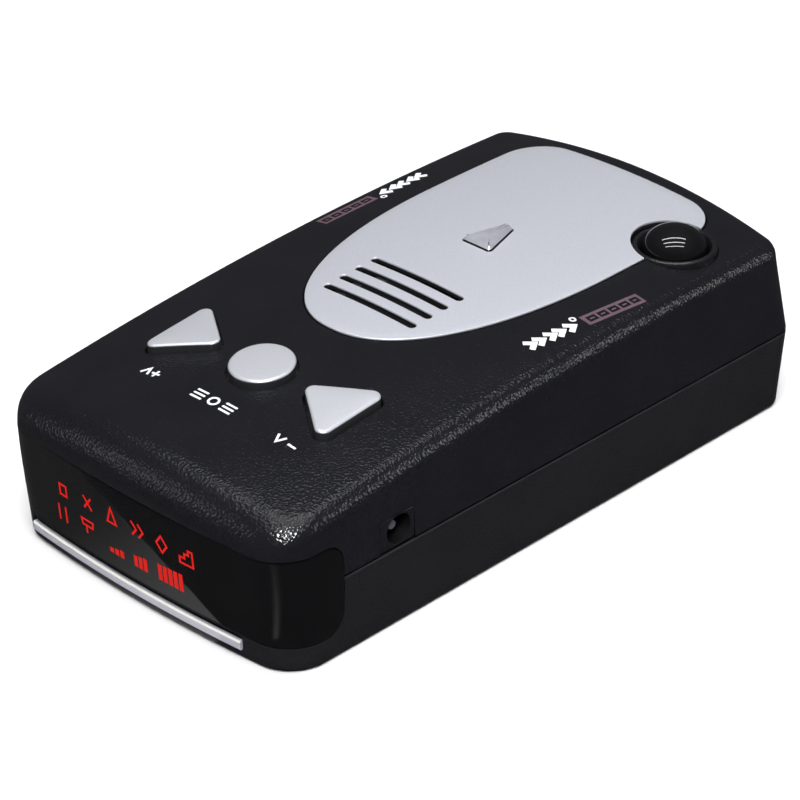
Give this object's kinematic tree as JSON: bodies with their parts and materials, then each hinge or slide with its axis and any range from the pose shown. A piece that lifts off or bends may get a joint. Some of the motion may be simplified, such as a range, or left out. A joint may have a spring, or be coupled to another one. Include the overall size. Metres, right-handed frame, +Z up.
{
  "type": "radar detector",
  "caption": "Dashboard radar detector: two-part black case, smoked front display window, silver top panel with speaker slots, push buttons and a sensor dome.",
  "frame": {"origin": "middle of the object's box, on the flat underside that it rests on", "axes": "+X is the driver's right, +Y points forward in the car and away from the driver, +Z is up; the display faces -Y"},
  "size_m": [0.06, 0.1132, 0.0338],
  "materials": {
    "case_black": "fine leather-grain moulded plastic, satin black",
    "lens_black": "smoked polished acrylic, nearly black",
    "strip_silver": "satin plated trim",
    "panel_silver": "fine silver paint, satin",
    "button_silver": "silver painted key caps, satin",
    "light_pipe_clear": "frosted clear acrylic, polished bevels",
    "dome_black": "infrared-pass acrylic, mirror gloss black",
    "ring_black": "satin black",
    "jack_black": "satin black connector moulding",
    "steel": "plated steel",
    "board_green": "solder-masked circuit board",
    "chip_black": "moulded package, matte",
    "led_red": "tinted lens",
    "display_dark": "dark diffuser block",
    "plunger_brown": "moulded switch plunger",
    "magnet_grey": "ferrite magnet",
    "cone_black": "doped paper cone",
    "capacitor_blue": "sleeved can"
  },
  "bodies": {
    "case": {"upper_shell": "case_black", "lower_shell": "case_black", "display_lens": "lens_black", "front_trim_strip": "strip_silver", "top_panel": "panel_silver", "up_switch": "chip_black", "menu_switch": "chip_black", "down_switch": "chip_black", "indicator_light_pipe": "light_pipe_clear", "indicator_led": "led_red", "laser_dome": "dome_black", "dome_ring": "ring_black", "laser_photodiode": "chip_black", "dc_jack_housing": "jack_black", "dc_jack_pin": "steel", "main_board": "board_green", "display_board": "board_green", "led_display": "display_dark", "button_board": "board_green", "speaker_frame": "steel", "speaker_magnet": "magnet_grey", "speaker_cone": "cone_black", "horn_antenna": "steel", "mixer_shield": "steel", "processor_chip": "chip_black", "power_inductor": "chip_black", "filter_capacitor": "capacitor_blue", "voltage_regulator": "chip_black", "case_screw_front_left": "steel", "case_screw_front_right": "steel", "case_screw_rear_left": "steel", "case_screw_rear_right": "steel"},
    "up_key": {"up_button": "button_silver", "up_switch_plunger": "plunger_brown"},
    "menu_key": {"menu_button": "button_silver", "menu_switch_plunger": "plunger_brown"},
    "down_key": {"down_button": "button_silver", "down_switch_plunger": "plunger_brown"}
  },
  "joints": [
    {"name": "up_press", "type": "slide", "parent": "case", "child": "up_key", "axis": [0, 0, 1], "range_m": [-0.0005, 0], "stiffness_N_per_m": 400, "springref_m": 0.0005},
    {"name": "menu_press", "type": "slide", "parent": "case", "child": "menu_key", "axis": [0, 0, 1], "range_m": [-0.0005, 0], "stiffness_N_per_m": 400, "springref_m": 0.0005},
    {"name": "down_press", "type": "slide", "parent": "case", "child": "down_key", "axis": [0, 0, 1], "range_m": [-0.0005, 0], "stiffness_N_per_m": 400, "springref_m": 0.0005}
  ]
}
